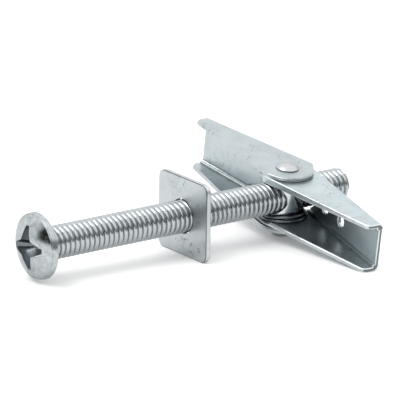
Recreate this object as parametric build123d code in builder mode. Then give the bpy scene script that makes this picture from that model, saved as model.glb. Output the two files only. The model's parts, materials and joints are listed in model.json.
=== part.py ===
from build123d import *
from math import acos, atan2, cos, degrees, radians, sin, sqrt, tan
import os

# A spring toggle anchor for hollow walls: a long machine screw with a loose square washer and
# a toggle at its far end. The toggle is a round cross nut with two folded sheet wings on it
# and a torsion spring that opens them. It lies on a table, as it comes to rest.
# Millimetres. The origin is on the screw's axis at the underside of the head, +X runs
# towards the screw's tip and +Z is up.

# Rest: the screw climbs a little towards its tip and the toggle is rolled on to one wing
screw_climb = 1.5
toggle_roll = 7.2

# Machine screw
thread_radius = 2.9
shank_length = 64.6
tip_chamfer = 0.25
head_radius = 5.78
head_height = 2.95
head_side_height = 0.9
head_side_inset = 0.12
recess_span = 7.4
recess_arm_width = 1.5
recess_depth = 2.3
recess_taper = 8
recess_core_radius = 1.9
recess_core_depth = 2.8
recess_core_taper = 20
recess_turn = 3

# Square washer
washer_side = 13.9
washer_thickness = 1.0
washer_corner = 1.5
washer_edge_round = 0.2
washer_hole_radius = 3.2
washer_position = 29.7

# Sheet wings, seen along the pivot: the reach is measured outwards from the pivot and the
# depth along the screw, towards its tip
nut_position = 52.1
sheet = 0.75
ear_radius = 4.7
wing_reach = 25.0
tip_front_depth = -1.7
tip_back_depth = 1.55
tip_corner = 1.3
heel_reach = 0.4
heel_depth = 6.1
web_start = 1.4
fold_radius = 0.95
notch_clearance = 0.45
web_hole_radius = 1.0
web_hole_height = 0.8
web_hole_reaches = (6.5, 12.2)

# Heights of the wings along the pivot, above and below the screw's axis
inner_top = 4.35
inner_bottom = 4.45
nest_gap_above = 0.05
nest_gap_below = 0.35
outer_tip_bottom = 4.25
taper_start = 12.0

# Cross nut, with its ends headed over like rivets
nut_radius = 3.3
nut_end_chamfer = 0.2
thread_play = 0.05
shoulder_gap = 0.04
stud_radius = 1.7
stud_play = 0.08
rivet_radius = 2.05
rivet_gap = 0.05
upper_rivet_height = 0.95
lower_rivet_height = 1.75
rivet_edge_round = 0.5
upper_rivet_side = 0.15

# Torsion spring: a leg on each web, an arc over the screw, a bridge down the nut's side and a
# coil under the screw, which widens towards its leg
wire_radius = 0.28
wire_sides = 12
wire_gap = 0.02
coil_gap = 0.04
arc_end_angle = 203
arc_steps = 5
bridge_angles = (230, 268, 283)
bridge_heights = (2.8, 1.0, -1.6)
coil_start_angle = 293
coil_rounds = 3
coil_steps = 18
lower_coil_rise = 0.08
bridge_bulge = 0.2
bend_share = 0.45
leg_reach = 13.5
leg_gap = 0.04
upper_leg_height = 3.1
lower_leg_height = -4.0

os.makedirs("parts", exist_ok=True)

# Frames: along_screw has its local X on the screw's axis and its local Y upwards.
# across_screw looks along the axis. toggle has its local X on the screw's axis and its
# local Z on the pivot.
climb = radians(screw_climb)
roll = radians(toggle_roll)
screw_axis = Vector(cos(climb), 0, sin(climb))
screw_up = Vector(-sin(climb), 0, cos(climb))
pivot_axis = screw_up * cos(roll) - Vector(0, 1, 0) * sin(roll)
along_screw = Plane(origin=(0, 0, 0), x_dir=screw_axis, z_dir=(0, -1, 0))
across_screw = Plane(origin=(0, 0, 0), x_dir=(0, 1, 0), z_dir=screw_axis)
toggle = Plane(origin=screw_axis * nut_position, x_dir=screw_axis, z_dir=pivot_axis)
along_pivot = Plane(origin=toggle.origin, x_dir=screw_axis, z_dir=-toggle.y_dir)
across_nut = Plane(origin=toggle.origin, x_dir=toggle.y_dir, z_dir=screw_axis)
screw_line = Axis((0, 0, 0), screw_axis)
pivot_line = Axis(toggle.origin, pivot_axis)

# Sizes that follow from the others
outer_top = inner_top + nest_gap_above + sheet
outer_bottom = inner_bottom + nest_gap_below + sheet
thread_hole_radius = thread_radius + thread_play
ear_hole_radius = stud_radius + stud_play
notch_radius = thread_radius + notch_clearance
back_slope = atan2(heel_depth - tip_back_depth, wing_reach - heel_reach)
coil_radius = nut_radius + coil_gap + wire_radius
wire_height = thread_radius + wire_gap + wire_radius
bridge_radius = coil_radius + bridge_bulge
well_clear = 2 * wing_reach


with BuildPart() as machine_screw:
    with BuildSketch(along_screw):
        with BuildLine():
            Polyline(
                (-head_height, 0),
                (shank_length, 0),
                (shank_length, thread_radius - tip_chamfer),
                (shank_length - tip_chamfer, thread_radius),
                (0, thread_radius),
                (0, head_radius),
                (-head_side_height, head_radius - head_side_inset),
            )
            TangentArc(
                (-head_height, 0),
                (-head_side_height, head_radius - head_side_inset),
                tangent=(0, 1),
            )
        make_face()
    revolve(axis=screw_line)
    # Cross recess: four tapered arms round a deeper core
    head_top = across_screw.offset(-head_height)
    with BuildSketch(head_top):
        Rectangle(recess_span, recess_arm_width, rotation=recess_turn)
        Rectangle(recess_arm_width, recess_span, rotation=recess_turn)
    extrude(amount=recess_depth, taper=recess_taper, mode=Mode.SUBTRACT)
    with BuildSketch(head_top):
        Circle(recess_core_radius)
    extrude(amount=recess_core_depth, taper=recess_core_taper, mode=Mode.SUBTRACT)
machine_screw.part.label = "machine_screw"
export_step(machine_screw.part, "parts/machine_screw.step")


with BuildPart() as square_washer:
    with BuildSketch(across_screw.offset(washer_position)):
        RectangleRounded(washer_side, washer_side, washer_corner)
        Circle(washer_hole_radius, mode=Mode.SUBTRACT)
    extrude(amount=washer_thickness)
    flat_faces = square_washer.faces().sort_by(screw_line)
    rims = flat_faces[0].outer_wire().edges() + flat_faces[-1].outer_wire().edges()
    fillet(rims, washer_edge_round)
square_washer.part.label = "square_washer"
export_step(square_washer.part, "parts/square_washer.step")


def ear_tangent(reach, depth, turn):
    """The (reach, depth) where a line from this point touches the round ear."""
    distance = sqrt(reach**2 + depth**2)
    angle = atan2(depth, reach) + turn * acos(ear_radius / distance)
    return (ear_radius * cos(angle), ear_radius * sin(angle))


def folded_wing(side, top, bottom, tip_bottom):
    """A wing folded from sheet, on side 1 or -1 of the screw, open towards the head."""

    def flat(reach, depth):
        return (depth, side * reach)

    web_out = toggle.y_dir * (side * cos(back_slope)) - toggle.x_dir * sin(back_slope)
    web_normal = toggle.x_dir * cos(back_slope) + toggle.y_dir * (side * sin(back_slope))
    heel = toggle.from_local_coords((heel_depth, side * heel_reach, 0))
    web_outside = Plane(origin=heel, x_dir=web_out, z_dir=web_normal * side)
    web_inside = Plane(origin=heel - web_normal * sheet, x_dir=web_out, z_dir=web_normal * side)
    forwards = -side * well_clear
    taper_at = (taper_start - heel_reach) / cos(back_slope)
    tip_at = (wing_reach - heel_reach) / cos(back_slope)
    taper_drop = (bottom - tip_bottom) * (well_clear - taper_at) / (tip_at - taper_at)
    front_touch = ear_tangent(wing_reach, tip_front_depth, -1)
    heel_touch = ear_tangent(heel_reach, heel_depth, 1)
    with BuildPart() as wing:
        # The plan: a round ear drawn out to a narrow tip, with a square heel at the fold
        with BuildSketch(toggle.offset(-bottom)) as plan:
            with BuildLine():
                Polyline(
                    flat(*front_touch),
                    flat(wing_reach, tip_front_depth),
                    flat(wing_reach, tip_back_depth),
                    flat(heel_reach, heel_depth),
                    flat(*heel_touch),
                )
                ThreePointArc(flat(*heel_touch), flat(-ear_radius, 0), flat(*front_touch))
            make_face()
            tips = plan.vertices().group_by(Axis.Y)[-1 if side > 0 else 0]
            fillet(tips.sort_by(Axis.X)[0], tip_corner)
        extrude(amount=bottom + top)
        # The lower side rises from the start of the taper to the tip
        with BuildSketch(web_outside):
            with BuildLine():
                Polyline(
                    (taper_at, -bottom),
                    (well_clear, taper_drop - bottom),
                    (well_clear, -well_clear),
                    (taper_at, -bottom),
                )
            make_face()
        extrude(amount=well_clear, both=True, mode=Mode.SUBTRACT)
        back = wing.faces().filter_by(web_outside).sort_by(SortBy.AREA)[-1]
        folds = back.edges().filter_by(lambda edge: abs(edge.tangent_at(0.5).dot(web_out)) > 0.9)
        fillet(folds, fold_radius)
        # The channel between the two flanges
        with BuildSketch(web_inside):
            with BuildLine():
                Polyline(
                    (-well_clear, top - sheet),
                    (well_clear, top - sheet),
                    (well_clear, taper_drop - bottom + sheet),
                    (taper_at, sheet - bottom),
                    (-well_clear, sheet - bottom),
                    (-well_clear, top - sheet),
                )
            make_face()
        extrude(amount=forwards, mode=Mode.SUBTRACT)
        # The web stops short of the pivot, with a round notch for the screw
        with BuildSketch(toggle.offset(sheet - bottom)):
            with Locations(flat(web_start - ear_radius, ear_radius)):
                Rectangle(2 * ear_radius, 2 * ear_radius)
        extrude(amount=bottom + top - 2 * sheet, mode=Mode.SUBTRACT)
        with BuildSketch(across_nut):
            Circle(notch_radius)
        extrude(amount=well_clear, mode=Mode.SUBTRACT)
        with BuildSketch(toggle):
            Circle(ear_hole_radius)
        extrude(amount=well_clear, both=True, mode=Mode.SUBTRACT)
        with BuildSketch(web_outside):
            hole_places = [(at - heel_reach) / cos(back_slope) for at in web_hole_reaches]
            with Locations([(place, side * web_hole_height) for place in hole_places]):
                Circle(web_hole_radius)
        extrude(amount=2 * sheet, both=True, mode=Mode.SUBTRACT)
    return wing.part


with BuildPart() as outer_wing:
    add(folded_wing(1, outer_top, outer_bottom, outer_tip_bottom))
outer_wing.part.label = "outer_wing"
export_step(outer_wing.part, "parts/outer_wing.step")

with BuildPart() as inner_wing:
    add(folded_wing(-1, inner_top, inner_bottom, inner_bottom))
inner_wing.part.label = "inner_wing"
export_step(inner_wing.part, "parts/inner_wing.step")


with BuildPart() as trunnion_nut:
    upper_shoulder = inner_top - sheet - shoulder_gap
    lower_shoulder = inner_bottom - sheet - shoulder_gap
    upper_seat = outer_top + rivet_gap
    lower_seat = outer_bottom + rivet_gap
    upper_end = upper_seat + upper_rivet_height
    lower_end = lower_seat + lower_rivet_height
    with BuildSketch(along_pivot):
        with BuildLine():
            Polyline(
                (0, upper_end),
                (0, -lower_end),
                (rivet_radius - rivet_edge_round, -lower_end),
                (rivet_radius, rivet_edge_round - lower_end),
                (rivet_radius, -lower_seat),
                (stud_radius, -lower_seat),
                (stud_radius, -lower_shoulder),
                (nut_radius - nut_end_chamfer, -lower_shoulder),
                (nut_radius, nut_end_chamfer - lower_shoulder),
                (nut_radius, upper_shoulder - nut_end_chamfer),
                (nut_radius - nut_end_chamfer, upper_shoulder),
                (stud_radius, upper_shoulder),
                (stud_radius, upper_seat),
                (rivet_radius, upper_seat),
                (rivet_radius, upper_seat + upper_rivet_side),
            )
            TangentArc(
                (0, upper_end),
                (rivet_radius, upper_seat + upper_rivet_side),
                tangent=(1, 0),
            )
        make_face()
    revolve(axis=pivot_line)
    with BuildSketch(across_nut):
        Circle(thread_hole_radius)
    extrude(amount=well_clear, both=True, mode=Mode.SUBTRACT)
trunnion_nut.part.label = "trunnion_nut"
export_step(trunnion_nut.part, "parts/trunnion_nut.step")


def leg_point(side, reach, height):
    """A point of a spring leg, which lies along the inside of a web."""
    inset = (sheet + leg_gap + wire_radius) / cos(back_slope)
    depth = heel_depth - (reach - heel_reach) * tan(back_slope) - inset
    return toggle.from_local_coords((depth, side * reach, height))


def coil_corner(angle, radius, height):
    """A bend of the wire at an angle about the pivot and a height along it."""
    return toggle.from_local_coords((radius * cos(radians(angle)), radius * sin(radians(angle)), height))


def coil_corners(start, end, count, heights, radii):
    """Evenly spaced bends of the wire as it winds about the pivot."""
    step = (end - start) / count
    corners = []
    for number in range(count):
        share = (number + 0.5) / count
        radius = (radii[0] + share * (radii[1] - radii[0])) / cos(radians(step / 2))
        height = heights[0] + share * (heights[1] - heights[0])
        corners.append(coil_corner(start + share * (end - start), radius, height))
    return corners


with BuildPart() as torsion_spring:
    leaving = degrees(back_slope)
    coil_end_angle = coil_rounds * 360 + leaving
    heel_line = (heel_depth + heel_reach * tan(back_slope)) * cos(back_slope)
    leg_line = heel_line - sheet - leg_gap - wire_radius
    over = (wire_height, wire_height)
    under = (-wire_height, -wire_height - lower_coil_rise)
    bridge = zip(bridge_angles, bridge_heights)
    route = [
        leg_point(-1, leg_reach, upper_leg_height),
        *coil_corners(-leaving, arc_end_angle, arc_steps, over, (leg_line, coil_radius)),
        *[coil_corner(angle, bridge_radius, height) for angle, height in bridge],
        *coil_corners(coil_start_angle, coil_end_angle, coil_steps, under, (coil_radius, leg_line)),
        leg_point(1, leg_reach, lower_leg_height),
    ]
    bends = []
    for before, corner, after in zip(route, route[1:], route[2:]):
        run_in = corner - before
        run_out = after - corner
        half_turn = radians(run_in.get_angle(run_out)) / 2
        bends.append(bend_share * min(run_in.length, run_out.length) / tan(half_turn))
    with BuildLine() as wire_path:
        FilletPolyline(*route, radius=bends)
    with BuildSketch(Plane(origin=wire_path.line @ 0, z_dir=wire_path.line % 0)):
        RegularPolygon(wire_radius, wire_sides)
    sweep(path=wire_path.line)
torsion_spring.part.label = "torsion_spring"
export_step(torsion_spring.part, "parts/torsion_spring.step")
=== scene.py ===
import json
import math
import bmesh
import bpy
from mathutils import Matrix, Vector


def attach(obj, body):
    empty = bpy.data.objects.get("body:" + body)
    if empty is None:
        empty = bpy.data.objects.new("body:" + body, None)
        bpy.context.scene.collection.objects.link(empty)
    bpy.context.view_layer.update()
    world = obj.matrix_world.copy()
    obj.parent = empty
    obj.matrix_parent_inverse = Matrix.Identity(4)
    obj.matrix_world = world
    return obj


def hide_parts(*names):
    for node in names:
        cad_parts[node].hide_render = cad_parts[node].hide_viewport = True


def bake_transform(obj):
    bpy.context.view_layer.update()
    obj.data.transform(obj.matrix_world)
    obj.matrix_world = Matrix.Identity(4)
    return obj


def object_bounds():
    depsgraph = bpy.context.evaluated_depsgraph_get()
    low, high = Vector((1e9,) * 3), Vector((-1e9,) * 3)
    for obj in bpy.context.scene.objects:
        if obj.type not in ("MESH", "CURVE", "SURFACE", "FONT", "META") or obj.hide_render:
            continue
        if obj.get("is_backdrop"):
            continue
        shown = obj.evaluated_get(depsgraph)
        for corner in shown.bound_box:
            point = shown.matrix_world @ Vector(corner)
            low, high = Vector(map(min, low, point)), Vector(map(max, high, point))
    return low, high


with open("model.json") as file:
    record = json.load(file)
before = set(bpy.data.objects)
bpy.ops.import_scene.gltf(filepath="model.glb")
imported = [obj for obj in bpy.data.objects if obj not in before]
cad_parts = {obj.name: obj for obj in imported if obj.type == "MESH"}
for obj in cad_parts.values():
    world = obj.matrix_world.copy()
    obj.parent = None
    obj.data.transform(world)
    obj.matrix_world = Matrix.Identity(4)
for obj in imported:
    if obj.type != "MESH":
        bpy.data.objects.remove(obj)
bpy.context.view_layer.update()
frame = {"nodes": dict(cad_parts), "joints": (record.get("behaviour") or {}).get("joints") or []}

# The camera stands where the photograph was taken from, in metres and degrees
CAMERA_PLACE = (-0.3247, -0.4662, 0.1751)
CAMERA_TURN = (73.68, -2.26, -36.87)
CAMERA_LENS = 319.6
CAMERA_SENSOR = 36.0
CAMERA_SIGHT = 10

# The studio: its walls are brighter behind the object than in front of it, the ceiling is bright,
# and one dark screen stands at the head's end. A side is the direction where each one stands. Its
# level sets in between a start and an end, which are cosines of the angle from that direction.
BRIGHT_SIDE = (0.1, 0.99, 0)
WALL_START = -0.8
WALL_END = 0.9
WALL_LEVELS = (0.33, 1.4)
CEILING_SIDE = (0.1, -0.1, 0.99)
CEILING_START = 0.38
CEILING_END = 0.7
CEILING_LEVEL = 1.55
SCREEN_SIDE = (-0.989, -0.087, 0.12)
SCREEN_START = 0.84
SCREEN_END = 0.95
SCREEN_LEVEL = 0.0

# The floor: half its width in metres, its grey, its roughness and its own faint glow
FLOOR_REACH = 3.0
FLOOR_GREY = 0.8
FLOOR_ROUGHNESS = 0.9
FLOOR_GLOW = 0.12

# One square lamp above the object and the point that it shines at, in metres and watts
LAMP_PLACE = (-0.35, 0.1, 0.65)
LAMP_SIZE = 0.45
LAMP_POWER = 2.5
LAMP_AIM = (0.03, 0, 0)

# Metres in a millimetre, and how far apart points may be that count as one, in metres
MM = 0.001
SAME_POINT = 1e-7
WELD_REACH = 1e-6

# The thread of the screw, in millimetres. It has steps along a pitch and sides around a turn, and
# its spare turns at both ends are cut off. Its start is hidden in the head.
THREAD_RADIUS = 2.9
THREAD_PITCH = 1.0
THREAD_DEPTH = 0.42
THREAD_ROUNDNESS = 2.6
THREAD_STEPS = 10
THREAD_SIDES = 72
THREAD_START = -0.5
SPARE_TURNS = 2
TIP_CHAMFER = 0.25
TIP_CLEAR = 0.001
PAST_TIP = -0.5

# The head of the screw, in millimetres and degrees: a side with a rounded lower edge, a rounded
# rim on it, a fine groove within the rim and a crown, whose outermost part is trimmed
HEAD_HEIGHT = 2.95
HEAD_SIDE = 1.1
HEAD_SIDE_INSET = 0.12
HEAD_SIDES = 128
HEAD_EDGE_ROUND = 0.18
HEAD_EDGE_STEPS = 5
RIM_ROUND = 0.08
RIM_INSET = 0.07
RIM_STEPS = 4
GROOVE_DEPTH = 0.02
GROOVE_INSET = 0.13
CROWN_TRIM = 1.4
CROWN_STEPS = 24

# The cross recess, in millimetres and degrees. Each level is (depth under the crown's top, reach
# of the arms, width of the arms, distance of the core's corners from the axis).
RECESS_TURN = -4.5
RECESS_REACH = 3.8
RECESS_END = 0.8
RECESS_CORNER = 1.75
RECESS_DEPTH = 2.7
RECESS_LEVELS = (
    (-0.4, RECESS_REACH + 0.5, RECESS_END, RECESS_CORNER * 1.15),
    ((HEAD_HEIGHT - HEAD_SIDE) * 0.45, RECESS_REACH, RECESS_END, RECESS_CORNER),
    (RECESS_DEPTH * 0.6, RECESS_REACH * 0.62, RECESS_END * 0.8, RECESS_CORNER * 0.78),
    (RECESS_DEPTH, 0.75, RECESS_END * 0.5, 0.6),
)

# The sheets and the nut, in millimetres and degrees. Edges are rounded when they turn by more
# than the sharp turn, and left out when they turn by less than the flat turn. What a sheet has
# within the bore's reach of the screw's axis is moved to the bore's radius.
EDGE_ROUND = 0.18
FOLD_ROUND = 0.5
ROUND_STEPS = 3
SHARP_TURN = 40
FLAT_TURN = 0.5
BORE_REACH = 3.7
BORE_RADIUS = 3.1

# Which face of a sheet is which, by how well it lines up with the normals of the flat sides: flat
# above the first level, a rounded rim above the second, and a cut face below both. The wall of a
# bore lines up by less than its own level.
WING_LEVELS = (0.5, 0.5)
WASHER_LEVELS = (0.97, 0.25)
BORE_WALL_LEVEL = 0.5
FLAT_SLOT, CUT_SLOT, FOLD_SLOT, RIM_SLOT, BORE_SLOT = range(5)

# A web's normal leans from the screw's axis by one part in this many
WEB_LEAN = 5

# The nut is painted lighter than the other zinc, a painted highlight. Its ends are darker, from
# this share of its half length on. They have this share of its colour, and the change takes this
# many millimetres.
NUT_END_START = 0.8
NUT_END_TONE = 0.7
NUT_END_FADE = 0.1

# Edges that turn by more than this many degrees look sharp
THREAD_CREASE = 35
HEAD_CREASE = 30
WIRE_CREASE = 40

# The torsion spring, as radii, heights and angles about the pivot: a leg on the right wing's web,
# an arc over the screw, a bridge down the nut's side, a coil under the screw and a leg on the
# left wing's web. The bridge is (angle, height) pairs. Order, steps and roundness are those of the
# wire's curve.
WIRE_RADIUS = 0.28
WIRE_ORDER = 4
WIRE_STEPS = 3
WIRE_ROUNDNESS = 4
WIRE_CLEAR = 3.2
WEB_SLOPE = 10.48
LEG_LINE = 5.0
LEG_REACH = 13.5
LEG_SHARES = (0.1, 0.25, 0.5, 0.75, 1)
UPPER_LEG = 3.1
LOWER_LEG = -4.0
ARC_END = 203
BRIDGE = ((232, 2.85), (262, 1.7), (284, -0.6), (303, -2.4), (330, -3.0))
BRIDGE_RADIUS = 3.85
COIL_RADIUS = 3.62
COIL_CLEAR = 0.1
COIL_START = 352
COIL_END = 1450
COIL_DROP = 0.9
COIL_LIFT = 0.42
COIL_TUCK = 0.5
COIL_TUCK_POWER = 1.5
TURN_STEP = 12
FULL_TURN = 360

# The noise in the metal: how fine it is, in turns a metre, and how much detail it has
CLOUD_SCALE = 330.0
CLOUD_DETAIL = 5.0
MOTTLE_SCALE = 1100.0
GRAIN_SCALE = 4200.0
GRAIN_DETAIL = 3.0
SCRATCH_SCALE = 420.0
SCRATCH_DETAIL = 1.5
SCRATCH_SWIRL = 1.2
PATCH_SCALE = 160.0
PATCH_DETAIL = 1.0
PIT_SCALE = 650.0
NOISE_MIDDLE = 0.5

# Where in the noise a mark sets in and is complete, how far the clouds change the colour and the
# roughness, the colour and strength of worn places, and the height of the bumps in metres
CLOUD_RANGE = (0.3, 0.7)
CLOUD_SPREAD = 0.07
MOTTLE_SPREAD = 0.2
PATCH_RANGE = (0.44, 0.56)
SCRATCH_RANGE = (0.0, 0.018)
PIT_RANGE = (0.1, 0.2)
PIT_CHOICE = (0.9, 0.92)
ROUGHNESS_DROP = 0.04
ROUGHNESS_RISE = 0.05
WORN_TONE = 0.45
WORN_STRENGTH = 0.6
GRAIN_SHARE = 0.5
BUMP_HEIGHT = 0.00003
EDGE_TINT = (0.75, 0.76, 0.77, 1)


def joint(name):
    """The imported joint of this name."""
    return next(packed for packed in frame["joints"] if packed["name"] == name)


def basis(x, y, z, origin):
    """The matrix from local to world coordinates."""
    turn = Matrix((x, y, z)).transposed().to_4x4()
    return Matrix.Translation(origin) @ turn


def corner_range(node, direction):
    """How far a node reaches along a direction, lowest and highest, in metres."""
    reach = [vertex.co.dot(direction) for vertex in frame["nodes"][node].data.vertices]
    return min(reach), max(reach)


# The screw's own frame has X on its axis. The toggle's has its origin on the pivot, X along
# the screw, Y towards the outer wing and Z on the pivot.
along = Vector(joint("nut_travel")["axis"]).normalized()
across = Vector((0, 1, 0))
up = along.cross(across)
pivot = Vector(joint("wing_fold")["pos_m"])
pivot_axis = Vector(joint("wing_fold")["axis"]).normalized()
wing_out = pivot_axis.cross(along)
screw_frame = basis(along, across, up, Vector((0, 0, 0)))
toggle_frame = basis(along, wing_out, pivot_axis, pivot)

# Places on the screw in millimetres, and the nut's half length in metres
head_top = -HEAD_HEIGHT
screw_tip = corner_range("machine_screw", along)[1] / MM
head_radius = corner_range("machine_screw", across)[1] / MM
nut_end = corner_range("trunnion_nut", pivot_axis)[1] - pivot.dot(pivot_axis)


def feed(tree, socket, value):
    """Gives a socket a fixed value, or links it to the socket that the value comes from."""
    if isinstance(value, bpy.types.NodeSocket):
        tree.links.new(value, socket)
    else:
        socket.default_value = value


def ramp(tree, value, span, result, shape="LINEAR"):
    """What goes through a span of values becomes what goes through a span of results."""
    node = tree.nodes.new("ShaderNodeMapRange")
    node.interpolation_type = shape
    feed(tree, node.inputs["Value"], value)
    for socket, amount in zip(("From Min", "From Max", "To Min", "To Max"), (*span, *result)):
        feed(tree, node.inputs[socket], amount)
    return node.outputs["Result"]


def maths(tree, operation, one, two=0.0):
    """The result of an operation on one or two numbers."""
    node = tree.nodes.new("ShaderNodeMath")
    node.operation = operation
    feed(tree, node.inputs[0], one)
    feed(tree, node.inputs[1], two)
    return node.outputs["Value"]


def depth_towards(tree, place, direction):
    """How far a place lies along a direction."""
    node = tree.nodes.new("ShaderNodeVectorMath")
    node.operation = "DOT_PRODUCT"
    feed(tree, node.inputs[0], place)
    feed(tree, node.inputs[1], direction)
    return node.outputs["Value"]


def mixed(tree, share, one, two):
    """The first colour, with a share of the second in it."""
    node = tree.nodes.new("ShaderNodeMix")
    node.data_type = "RGBA"
    feed(tree, node.inputs["Factor"], share)
    feed(tree, node.inputs["A"], one)
    feed(tree, node.inputs["B"], two)
    return node.outputs["Result"]


def toned(color, share):
    """A share of a colour, with full alpha."""
    return [part * share for part in color] + [1]


def metal(
    name, color, roughness, marks=1.0, relief=0.3, ends=None, size=CLOUD_SCALE, spread=CLOUD_SPREAD
):
    """Plated steel, all from noise: cloudy tones, patches of hairline scratches and a few pits.

    Marks is the strength of the scratches and pits, relief that of the bumps, size how fine the
    clouds are and spread how far they change the colour. Ends is (distance, share): further than
    the distance from the pivot, measured along its axis, the colour falls to the share.
    """
    made = bpy.data.materials.new(name)
    made.use_nodes = True
    tree = made.node_tree
    shader = tree.nodes["Principled BSDF"]
    shader.inputs["Metallic"].default_value = 1.0
    shader.inputs["Specular Tint"].default_value = EDGE_TINT
    place = tree.nodes.new("ShaderNodeTexCoord").outputs["Object"]

    def noise(scale, detail, swirl=0.0):
        """Noise between 0 and 1 at each place in the metal."""
        texture = tree.nodes.new("ShaderNodeTexNoise")
        texture.inputs["Scale"].default_value = scale
        texture.inputs["Detail"].default_value = detail
        texture.inputs["Distortion"].default_value = swirl
        feed(tree, texture.inputs["Vector"], place)
        return texture.outputs["Fac"]

    clouds = noise(size, CLOUD_DETAIL)
    grain = noise(GRAIN_SCALE, GRAIN_DETAIL)
    swirls = noise(SCRATCH_SCALE, SCRATCH_DETAIL, SCRATCH_SWIRL)
    line = maths(tree, "ABSOLUTE", maths(tree, "SUBTRACT", swirls, NOISE_MIDDLE))
    patches = ramp(tree, noise(PATCH_SCALE, PATCH_DETAIL), PATCH_RANGE, (0.0, marks))
    scratches = maths(tree, "MULTIPLY", ramp(tree, line, SCRATCH_RANGE, (1.0, 0.0)), patches)
    pit = tree.nodes.new("ShaderNodeTexVoronoi")
    pit.inputs["Scale"].default_value = PIT_SCALE
    feed(tree, pit.inputs["Vector"], place)
    chosen = tree.nodes.new("ShaderNodeSeparateColor")
    feed(tree, chosen.inputs["Color"], pit.outputs["Color"])
    rare = ramp(tree, chosen.outputs["Red"], PIT_CHOICE, (0.0, marks))
    pits = maths(tree, "MULTIPLY", ramp(tree, pit.outputs["Distance"], PIT_RANGE, (1.0, 0.0)), rare)
    wear = maths(tree, "MAXIMUM", scratches, pits)

    cloudiness = ramp(tree, clouds, CLOUD_RANGE, (0.0, 1.0))
    tone = mixed(tree, cloudiness, toned(color, 1 - spread), toned(color, 1 + spread))
    tone = mixed(tree, maths(tree, "MULTIPLY", wear, WORN_STRENGTH), tone, toned(color, WORN_TONE))
    if ends:
        distance, share = ends
        height = depth_towards(tree, place, pivot_axis)
        away = maths(tree, "ABSOLUTE", maths(tree, "SUBTRACT", height, pivot.dot(pivot_axis)))
        fade = ramp(tree, away, (distance - NUT_END_FADE * MM, distance), (1.0, share))
        darker = tree.nodes.new("ShaderNodeVectorMath")
        darker.operation = "SCALE"
        feed(tree, darker.inputs[0], tone)
        feed(tree, darker.inputs["Scale"], fade)
        tone = darker.outputs["Vector"]
    feed(tree, shader.inputs["Base Color"], tone)

    rougher = (roughness - ROUGHNESS_DROP, roughness + ROUGHNESS_RISE)
    feed(tree, shader.inputs["Roughness"], ramp(tree, clouds, CLOUD_RANGE, rougher))
    bump = tree.nodes.new("ShaderNodeBump")
    bump.inputs["Strength"].default_value = relief
    bump.inputs["Distance"].default_value = BUMP_HEIGHT
    bumps = maths(tree, "ADD", maths(tree, "MULTIPLY", grain, GRAIN_SHARE), clouds)
    feed(tree, bump.inputs["Height"], maths(tree, "SUBTRACT", bumps, wear))
    feed(tree, shader.inputs["Normal"], bump.outputs["Normal"])
    return made


# Each finish has its name, its colour and its roughness, and some are marked more or less.
# Several are painted light: the right wing's lighter zinc lifts its shaded channel, the bright
# edges, rims and nut are painted highlights, and the dark edges, folds, hole wall and recess are
# painted shade.
zinc_sheet = metal("zinc_sheet", (0.44, 0.485, 0.5), 0.34)
zinc_washer = metal("zinc_washer", (0.46, 0.495, 0.505), 0.36, marks=1.7, relief=0.45)
# The right wing's zinc is painted lighter than the sheet zinc: painted light that lifts the shade
# inside its channel
right_wing_painted_light = metal("right_wing_painted_light", (0.49, 0.55, 0.57), 0.34)
# A lighter zinc for the washer's cut faces and the left wing's rims: a painted highlight along the
# edges
edge_painted_highlight = metal("edge_painted_highlight", (0.52, 0.545, 0.555), 0.35)
# A darker zinc for the left wing's cut faces and notch walls: painted shade on the edges
edge_painted_shade = metal("edge_painted_shade", (0.36, 0.388, 0.4), 0.38)
# A much lighter zinc for the right wing's rounded rims: a painted highlight
rim_painted_highlight = metal("rim_painted_highlight", (0.68, 0.71, 0.72), 0.3)
# A near-black zinc for the washer's rims and the right wing's cut faces and notch walls: painted
# deep shade between the bright lines
edge_painted_deep_shade = metal("edge_painted_deep_shade", (0.15, 0.163, 0.17), 0.4)
# A black for the wall of the washer's hole: the painted shadow in the gap around the screw
bore = metal("bore", (0.05, 0.055, 0.06), 0.6)
# A darker zinc on the softened inner folds: painted shade in the creases
fold_painted_shade = metal("fold_painted_shade", (0.22, 0.255, 0.268), 0.42)
zinc_screw = metal("zinc_screw", (0.41, 0.44, 0.45), 0.16, marks=0.8, relief=0.4)
zinc_head = metal(
    "zinc_head",
    (0.39, 0.42, 0.43),
    0.17,
    marks=1.2,
    relief=0.4,
    size=MOTTLE_SCALE,
    spread=MOTTLE_SPREAD,
)
# The head's recess is painted much darker than the head: painted shade in the recess
recess_painted_shade = metal("recess_painted_shade", (0.15, 0.172, 0.183), 0.3, marks=0.3)
# The nut's bright colour is a painted highlight
zinc_nut = metal(
    "zinc_nut", (0.62, 0.645, 0.655), 0.2, marks=0.3, ends=(nut_end * NUT_END_START, NUT_END_TONE)
)
spring_wire = metal("spring_wire", (0.2, 0.21, 0.22), 0.24, marks=0.3)


def new_object(name, work, finishes):
    """Turns a bmesh in metres into an object of the scene that has these finishes."""
    mesh = bpy.data.meshes.new(name)
    work.to_mesh(mesh)
    work.free()
    for finish in finishes:
        mesh.materials.append(finish)
    made = bpy.data.objects.new(name, mesh)
    bpy.context.scene.collection.objects.link(made)
    return made


def screw_object(name, work, finish):
    """Turns a bmesh in millimetres of the screw's frame into an object of the scene."""
    bmesh.ops.transform(work, matrix=screw_frame @ Matrix.Scale(MM, 4), verts=work.verts)
    return new_object(name, work, (finish,))


def evaluated_mesh(made):
    """The mesh of a curve with its thickness, or of an object with its modifiers."""
    bpy.context.view_layer.update()
    depsgraph = bpy.context.evaluated_depsgraph_get()
    return bpy.data.meshes.new_from_object(made.evaluated_get(depsgraph))


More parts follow.
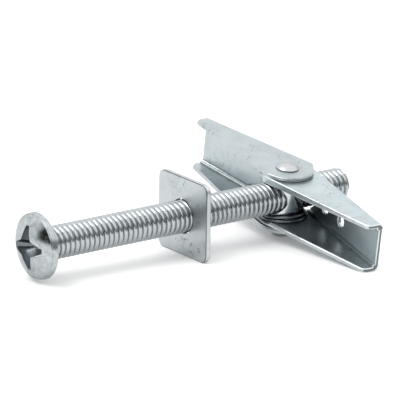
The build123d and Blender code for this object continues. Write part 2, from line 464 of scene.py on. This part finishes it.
def shade(made, angle):
    """Smooth shading, apart from the edges that turn by more than an angle."""
    mesh = made.data
    mesh.shade_smooth()
    work = bmesh.new()
    work.from_mesh(mesh)
    for edge in work.edges:
        edge.smooth = len(edge.link_faces) == 2 and edge.calc_face_angle() < math.radians(angle)
    work.to_mesh(mesh)
    work.free()


def stand_in(made, body, node):
    """Makes an object ride on a body, in the place of a node."""
    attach(made, body)
    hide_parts(node)


def welded(mesh):
    """A bmesh of a mesh in which the points that fall together are one."""
    work = bmesh.new()
    work.from_mesh(mesh)
    bmesh.ops.remove_doubles(work, verts=work.verts, dist=SAME_POINT)
    return work


def cut_off(work, place, side):
    """Cuts off what lies on one side of a plane, and closes the cut."""
    everything = work.verts[:] + work.edges[:] + work.faces[:]
    cut = bmesh.ops.bisect_plane(
        work, geom=everything, plane_co=place, plane_no=side, clear_outer=True
    )
    rim = [item for item in cut["geom_cut"] if isinstance(item, bmesh.types.BMEdge)]
    bmesh.ops.edgeloop_fill(work, edges=rim)


def join_rings(work, rings):
    """The faces between each ring of points and the next one. A ring may be a single point."""
    for one, two in zip(rings, rings[1:]):
        for side in range(max(len(one), len(two))):
            after = side + 1
            corners = [one[side % len(one)], one[after % len(one)]]
            corners += [two[after % len(two)], two[side % len(two)]]
            work.faces.new(list(dict.fromkeys(corners)))


def turned(profile, sides):
    """A closed solid turned about X from (x, radius) points, the first and last on the axis."""
    work = bmesh.new()
    angles = [2 * math.pi * side / sides for side in range(sides)]
    rings = []
    for x, radius in profile:
        if radius == 0:
            rings.append([work.verts.new((x, 0, 0))])
            continue
        points = [(x, radius * math.cos(angle), radius * math.sin(angle)) for angle in angles]
        rings.append([work.verts.new(point) for point in points])
    join_rings(work, rings)
    bmesh.ops.recalc_face_normals(work, faces=work.faces)
    return work


def arc_points(centre, radius, start, end, steps):
    """Points on an arc, angles in degrees from +x towards +radius."""
    points = []
    for step in range(steps + 1):
        angle = math.radians(start + (end - start) * step / steps)
        points.append((centre[0] + radius * math.cos(angle), centre[1] + radius * math.sin(angle)))
    return points


def thread_height(share):
    """Radius of the thread at a share of its pitch: a broad round crest and a narrow root."""
    off = 2 * abs(share - round(share))
    return THREAD_RADIUS - THREAD_DEPTH * off**THREAD_ROUNDNESS


def threaded_rod(start, end):
    """The helical thread as a closed solid from start to end along X."""
    work = bmesh.new()
    turns = int((end - start) / THREAD_PITCH) + 2 * SPARE_TURNS
    shares = [step / THREAD_STEPS for step in range(THREAD_STEPS)]
    first = start - SPARE_TURNS * THREAD_PITCH
    rows = []
    for turn in range(turns * THREAD_SIDES + 1):
        angle = 2 * math.pi * turn / THREAD_SIDES
        row = []
        for share in shares:
            x = first + (turn / THREAD_SIDES + share) * THREAD_PITCH
            chamfer = THREAD_RADIUS - TIP_CHAMFER + max(end - x, PAST_TIP)
            radius = min(thread_height(share), chamfer)
            row.append(work.verts.new((x, radius * math.cos(angle), radius * math.sin(angle))))
        rows.append(row)
    for here, (one, two) in enumerate(zip(rows, rows[1:])):
        for step in range(THREAD_STEPS - 1):
            work.faces.new((one[step], one[step + 1], two[step + 1], two[step]))
        after = here + THREAD_SIDES
        if after + 1 < len(rows):
            work.faces.new((one[-1], rows[after][0], rows[after + 1][0], two[-1]))
    for x, side in ((start, -1), (end, 1)):
        cut_off(work, (x, 0, 0), (side, 0, 0))
    bmesh.ops.recalc_face_normals(work, faces=work.faces)
    return work


def pan_head():
    """The head without its recess: a flat underside, a short side and a round crown."""
    side_radius = head_radius - HEAD_SIDE_INSET
    rise = -head_top - HEAD_SIDE
    crown = (side_radius**2 + rise**2) / (2 * rise)
    lean = math.degrees(math.asin(side_radius / crown))
    edge_centre = (-HEAD_EDGE_ROUND, head_radius - HEAD_EDGE_ROUND)
    rim_centre = (RIM_ROUND - HEAD_SIDE, side_radius - RIM_INSET)
    crown_centre = (head_top + crown, 0)
    profile = [(0, 0), (0, THREAD_RADIUS)]
    profile += arc_points(edge_centre, HEAD_EDGE_ROUND, 0, 90, HEAD_EDGE_STEPS)
    profile += arc_points(rim_centre, RIM_ROUND, 90, 180, RIM_STEPS)
    profile += [(GROOVE_DEPTH - HEAD_SIDE, side_radius - GROOVE_INSET)]
    profile += arc_points(crown_centre, crown, 180 - lean + CROWN_TRIM, 180, CROWN_STEPS)[:-1]
    profile += [(head_top, 0)]
    return turned(profile, HEAD_SIDES)


def recess_cutter():
    """A cross whose four arms have sloping floors and meet in a deeper core with flared corners."""
    work = bmesh.new()
    rings = []
    for depth, reach, width, corner in RECESS_LEVELS:
        ring = []
        diagonal = corner / math.sqrt(2)
        for quarter in range(4):
            turn = Matrix.Rotation(quarter * math.pi / 2 + math.radians(RECESS_TURN), 2)
            for y, z in ((reach, -width / 2), (reach, width / 2), (diagonal, diagonal)):
                point = turn @ Vector((y, z))
                ring.append(work.verts.new((head_top + depth, point.x, point.y)))
        rings.append(ring)
    join_rings(work, rings)
    work.faces.new(rings[0])
    work.faces.new(rings[-1])
    bmesh.ops.recalc_face_normals(work, faces=work.faces)
    return work


def screw():
    """The screw: its threaded rod and its head, with the cross recess cut out."""
    thread = threaded_rod(THREAD_START, screw_tip - TIP_CLEAR)
    rod = screw_object("screw_thread", thread, zinc_screw)
    shade(rod, THREAD_CREASE)
    stand_in(rod, "screw", "machine_screw")
    head = screw_object("screw_head", pan_head(), zinc_head)
    cutter = screw_object("recess", recess_cutter(), recess_painted_shade)
    cut = head.modifiers.new("recess", "BOOLEAN")
    cut.operation = "DIFFERENCE"
    cut.solver = "EXACT"
    cut.material_mode = "TRANSFER"
    cut.object = cutter
    finished = evaluated_mesh(head)
    head.modifiers.clear()
    head.data = finished
    bpy.data.objects.remove(cutter)
    shade(head, HEAD_CREASE)
    stand_in(head, "screw", "machine_screw")


def about_pivot(angle, radius, height):
    """A point at an angle in degrees about the pivot, in millimetres of the toggle's frame."""
    turn = math.radians(angle)
    return Vector((radius * math.cos(turn), radius * math.sin(turn), height))


def spring_leg(side, height, foot_height):
    """Points along a leg from its foot, where it leaves the coil, to its end on a web."""
    slope = math.radians(WEB_SLOPE)
    foot = about_pivot(side * WEB_SLOPE, LEG_LINE, foot_height)
    run = (LEG_REACH - LEG_LINE * math.sin(slope)) / math.cos(slope)
    leg = Vector((-math.sin(slope) * run, side * math.cos(slope) * run, height - foot_height))
    return [foot.lerp(foot + leg, share) for share in LEG_SHARES]


def coil_point(angle):
    """The coil widens towards its leg. On the open side its turns tuck in and lift apart."""
    share = (angle - COIL_START) / (COIL_END - COIL_START)
    narrow = COIL_RADIUS + COIL_CLEAR
    wide = narrow + (LEG_LINE - narrow) * share
    front = max(-math.sin(math.radians(angle)), 0)
    tuck = COIL_TUCK * (wide - COIL_RADIUS) * front**COIL_TUCK_POWER
    turns_to_come = COIL_END // FULL_TURN - 1 - angle // FULL_TURN
    lift = COIL_LIFT * front * turns_to_come
    return about_pivot(angle, wide - tuck, lift - WIRE_CLEAR - COIL_DROP * share)


def spring_wire_path():
    """The centre line of the whole spring, in millimetres of the toggle's frame."""
    path = spring_leg(-1, UPPER_LEG, WIRE_CLEAR)[::-1]
    arc_steps = int((ARC_END + WEB_SLOPE) / TURN_STEP)
    for step in range(arc_steps + 1):
        share = step / arc_steps
        radius = LEG_LINE + (COIL_RADIUS - LEG_LINE) * share
        path.append(about_pivot(-WEB_SLOPE + share * (ARC_END + WEB_SLOPE), radius, WIRE_CLEAR))
    path += [about_pivot(angle, BRIDGE_RADIUS, height) for angle, height in BRIDGE]
    coil_turn = COIL_END - COIL_START
    coil_steps = int(coil_turn / TURN_STEP)
    for step in range(coil_steps + 1):
        path.append(coil_point(COIL_START + coil_turn * step / coil_steps))
    return path + spring_leg(1, LOWER_LEG, -WIRE_CLEAR - COIL_DROP)


def spring_mesh():
    """The round wire along its centre line, in metres."""
    curve = bpy.data.curves.new("spring", "CURVE")
    curve.dimensions = "3D"
    line = curve.splines.new("NURBS")
    path = [toggle_frame @ (point * MM) for point in spring_wire_path()]
    line.points.add(len(path) - 1)
    for point, place in zip(line.points, path):
        point.co = (*place, 1)
    line.order_u = WIRE_ORDER
    line.use_endpoint_u = True
    line.resolution_u = WIRE_STEPS
    curve.bevel_depth = WIRE_RADIUS * MM
    curve.bevel_resolution = WIRE_ROUNDNESS
    curve.use_fill_caps = True
    holder = bpy.data.objects.new("spring", curve)
    bpy.context.scene.collection.objects.link(holder)
    mesh = evaluated_mesh(holder)
    bpy.data.objects.remove(holder)
    return mesh


def spring_half(name, side):
    """The half of the spring above or below the screw."""
    work = welded(whole_spring)
    cut_off(work, pivot, -side * pivot_axis)
    made = new_object(name, work, (spring_wire,))
    shade(made, WIRE_CREASE)
    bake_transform(made)
    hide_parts("torsion_spring")


def in_bore(point):
    """Whether a point is close around the screw: on the washer's hole or the wings' notches."""
    return (point - along * point.dot(along)).length < BORE_REACH * MM


def sharp_edges(work):
    """The edges at which the surface turns by more than the sharp turn."""
    edges = [edge for edge in work.edges if len(edge.link_faces) == 2]
    return [edge for edge in edges if edge.calc_face_angle() > math.radians(SHARP_TURN)]


def round_edges(work, edges, width, finish):
    """Rounds edges by a width in millimetres. The new faces get the finish of this number."""
    bmesh.ops.bevel(
        work,
        geom=edges,
        offset=width * MM,
        segments=ROUND_STEPS,
        affect="EDGES",
        clamp_overlap=False,
        material=finish,
    )


def face_finish(face, normals, levels):
    """The number of a face's finish, by how well it lines up with the sheet's flat sides."""
    flat = max(abs(face.normal.dot(normal)) for normal in normals)
    if flat < BORE_WALL_LEVEL and in_bore(face.calc_center_median()):
        return BORE_SLOT
    if flat > levels[0]:
        return FLAT_SLOT
    if flat > levels[1]:
        return RIM_SLOT
    return CUT_SLOT


def pressed_sheet(name, node, body, normals, levels, finishes):
    """A sheet-metal node with its cut edges rounded and its inner folds softened.

    The normals are those of the sheet's flat sides. The finishes are those of the flat sides, the
    cut faces, the folds, the rounded rims and the walls close around the screw, which are moved
    to the radius of the bore. Apart from the zinc of the flat sides, they are painted highlights
    and painted shade, and the right wing's flat sides are painted lighter too.
    """
    work = welded(frame["nodes"][node].data)
    bmesh.ops.dissolve_limit(
        work, angle_limit=math.radians(FLAT_TURN), verts=work.verts, edges=work.edges
    )
    for vertex in work.verts:
        if in_bore(vertex.co):
            centre = along * vertex.co.dot(along)
            vertex.co = centre + (vertex.co - centre).normalized() * BORE_RADIUS * MM
    for face in work.faces:
        face.material_index = face_finish(face, normals, levels)
    folds = [edge for edge in sharp_edges(work) if not edge.is_convex]
    round_edges(work, folds, FOLD_ROUND, FOLD_SLOT)
    rims = []
    for edge in sharp_edges(work):
        middle = (edge.verts[0].co + edge.verts[1].co) / 2
        if edge.is_convex and not in_bore(middle):
            rims.append(edge)
    round_edges(work, rims, EDGE_ROUND, RIM_SLOT)
    made = new_object(name, work, finishes)
    shade(made, SHARP_TURN)
    stand_in(made, body, node)


def sheets():
    """The washer and the two wings."""
    washer_zinc_and_painted_light = (zinc_washer, edge_painted_highlight, fold_painted_shade, edge_painted_deep_shade, bore)
    pressed_sheet(
        "washer_sheet", "square_washer", "washer", (along,), WASHER_LEVELS, washer_zinc_and_painted_light
    )
    left_zinc_and_painted_light = (zinc_sheet, edge_painted_shade, fold_painted_shade, edge_painted_highlight, edge_painted_shade)
    right_painted_light = (right_wing_painted_light, edge_painted_deep_shade, fold_painted_shade, rim_painted_highlight, edge_painted_deep_shade)
    for name, node, wing, side, finishes in (
        ("left_wing_sheet", "outer_wing", "left_wing", 1, left_zinc_and_painted_light),
        ("right_wing_sheet", "inner_wing", "right_wing", -1, right_painted_light),
    ):
        web_normal = (along * WEB_LEAN + side * wing_out).normalized()
        pressed_sheet(name, node, wing, (pivot_axis, web_normal), WING_LEVELS, finishes)


def nut_finish():
    """The nut keeps its own node, with its edges rounded."""
    nut = frame["nodes"]["trunnion_nut"]
    nut.data.materials.clear()
    nut.data.materials.append(zinc_nut)
    weld = nut.modifiers.new("weld", "WELD")
    weld.merge_threshold = WELD_REACH
    rounded = nut.modifiers.new("rounded", "BEVEL")
    rounded.width = EDGE_ROUND * MM
    rounded.segments = ROUND_STEPS
    rounded.limit_method = "ANGLE"
    rounded.angle_limit = math.radians(SHARP_TURN)
    rounded.harden_normals = True


def floor():
    """A plain pale floor under the object."""
    height = min(corner[2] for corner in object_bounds())
    corners = []
    for x, y in ((-1, -1), (1, -1), (1, 1), (-1, 1)):
        corners.append((x * FLOOR_REACH, y * FLOOR_REACH, height))
    mesh = bpy.data.meshes.new("floor")
    mesh.from_pydata(corners, [], [(0, 1, 2, 3)])
    made = bpy.data.objects.new("floor", mesh)
    bpy.context.scene.collection.objects.link(made)
    pale = bpy.data.materials.new("floor")
    pale.use_nodes = True
    shader = pale.node_tree.nodes["Principled BSDF"]
    shader.inputs["Base Color"].default_value = (FLOOR_GREY, FLOOR_GREY, FLOOR_GREY, 1)
    shader.inputs["Roughness"].default_value = FLOOR_ROUGHNESS
    shader.inputs["Emission Color"].default_value = (1, 1, 1, 1)
    shader.inputs["Emission Strength"].default_value = FLOOR_GLOW
    mesh.materials.append(pale)
    made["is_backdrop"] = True


def studio():
    """The light from all around."""
    world = bpy.data.worlds.new("studio")
    bpy.context.scene.world = world
    world.use_nodes = True
    tree = world.node_tree
    background = tree.nodes["Background"]
    background.inputs["Color"].default_value = (1, 1, 1, 1)
    direction = tree.nodes.new("ShaderNodeTexCoord").outputs["Generated"]
    light, wall_level = WALL_LEVELS
    for side, start, end, level in (
        (BRIGHT_SIDE, WALL_START, WALL_END, wall_level),
        (SCREEN_SIDE, SCREEN_START, SCREEN_END, SCREEN_LEVEL),
        (CEILING_SIDE, CEILING_START, CEILING_END, CEILING_LEVEL),
    ):
        depth = depth_towards(tree, direction, side)
        light = ramp(tree, depth, (start, end), (light, level), "SMOOTHSTEP")
    feed(tree, background.inputs["Strength"], light)


def lamp():
    """The one lamp."""
    light = bpy.data.lights.new("key", "AREA")
    light.size = LAMP_SIZE
    light.energy = LAMP_POWER
    made = bpy.data.objects.new("key", light)
    made.location = LAMP_PLACE
    aim = Vector(LAMP_AIM) - Vector(LAMP_PLACE)
    made.rotation_euler = aim.to_track_quat("-Z", "Y").to_euler()
    bpy.context.scene.collection.objects.link(made)


def camera():
    """The camera at the photograph's angle."""
    data = bpy.data.cameras.new("camera")
    data.lens = CAMERA_LENS
    data.sensor_width = CAMERA_SENSOR
    data.clip_end = CAMERA_SIGHT
    made = bpy.data.objects.new("camera", data)
    made.location = CAMERA_PLACE
    made.rotation_euler = [math.radians(turn) for turn in CAMERA_TURN]
    bpy.context.scene.collection.objects.link(made)
    bpy.context.scene.camera = made


screw()
whole_spring = spring_mesh()
spring_half("spring_top", 1)
spring_half("spring_coil", -1)
sheets()
nut_finish()
floor()
studio()
lamp()
camera()
bpy.context.scene.view_settings.view_transform = "Standard"
